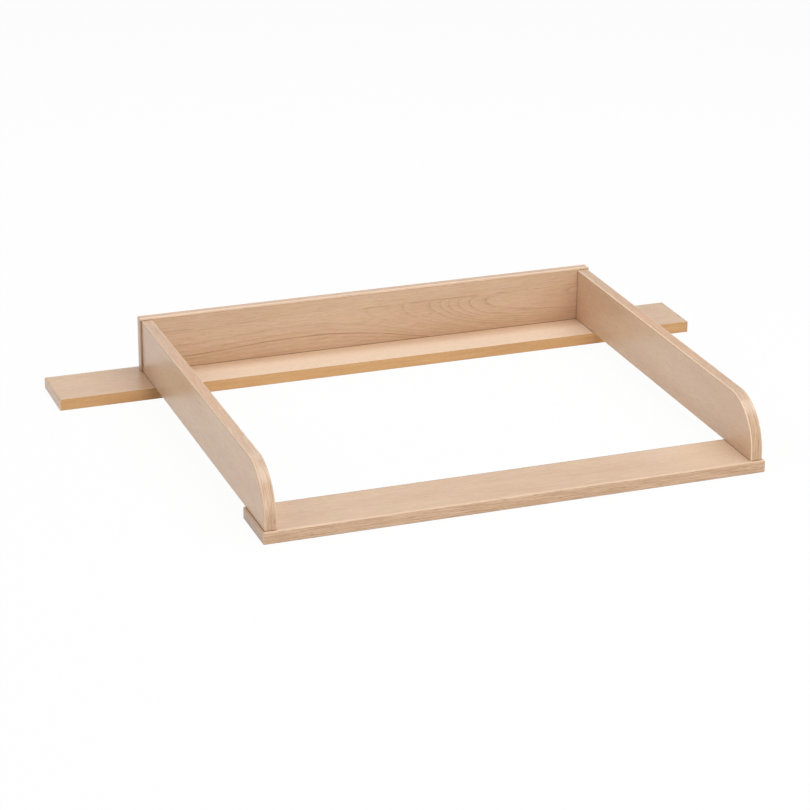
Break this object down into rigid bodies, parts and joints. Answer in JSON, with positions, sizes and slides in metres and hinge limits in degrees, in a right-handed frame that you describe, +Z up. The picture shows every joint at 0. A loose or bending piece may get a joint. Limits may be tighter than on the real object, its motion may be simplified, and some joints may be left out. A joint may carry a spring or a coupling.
{
  "type": "changing table topper",
  "caption": "Low oak-look frame, open at the front, that keeps a changing mat in place on a chest of drawers; its rear rail reaches far past both sides.",
  "frame": {"origin": "on the surface that the topper lies on, under the middle of its footprint", "axes": "+X along the width to the right as seen from the open front, +Y from the open front to the back panel, +Z up"},
  "size_m": [1.12, 0.7052, 0.1113],
  "materials": {
    "oak_foil_mdf": "fine MDF faced on both sides with satin oak-look decor foil",
    "oak_edge_band": "2 mm ABS edge band with printed oak grain, rounded arrises, satin",
    "zinc_plated_steel": "bright zinc plating",
    "beech": "bare turned beech"
  },
  "bodies": {
    "root": {"front_board": "oak_foil_mdf", "rear_rail": "oak_foil_mdf", "back_panel": "oak_foil_mdf", "side_panel_left": "oak_foil_mdf", "side_panel_right": "oak_foil_mdf", "front_board_band_front": "oak_edge_band", "front_board_band_rear": "oak_edge_band", "front_board_band_left": "oak_edge_band", "front_board_band_right": "oak_edge_band", "rear_rail_band_left": "oak_edge_band", "rear_rail_band_right": "oak_edge_band", "back_panel_band_top": "oak_edge_band", "back_panel_band_left": "oak_edge_band", "back_panel_band_right": "oak_edge_band", "side_panel_band_left": "oak_edge_band", "side_panel_band_right": "oak_edge_band", "front_screw_left_front": "zinc_plated_steel", "front_screw_left_rear": "zinc_plated_steel", "front_screw_right_front": "zinc_plated_steel", "front_screw_right_rear": "zinc_plated_steel", "rail_screw_left": "zinc_plated_steel", "rail_screw_right": "zinc_plated_steel", "back_screw_left_lower": "zinc_plated_steel", "back_screw_left_upper": "zinc_plated_steel", "back_screw_right_lower": "zinc_plated_steel", "back_screw_right_upper": "zinc_plated_steel", "rail_back_screw_left": "zinc_plated_steel", "rail_back_screw_middle": "zinc_plated_steel", "rail_back_screw_right": "zinc_plated_steel", "front_dowel_left": "beech", "front_dowel_right": "beech", "rail_dowel_left": "beech", "rail_dowel_right": "beech", "back_dowel_left": "beech", "back_dowel_right": "beech", "rail_back_dowel_left": "beech", "rail_back_dowel_right": "beech"}
  },
  "joints": []
}
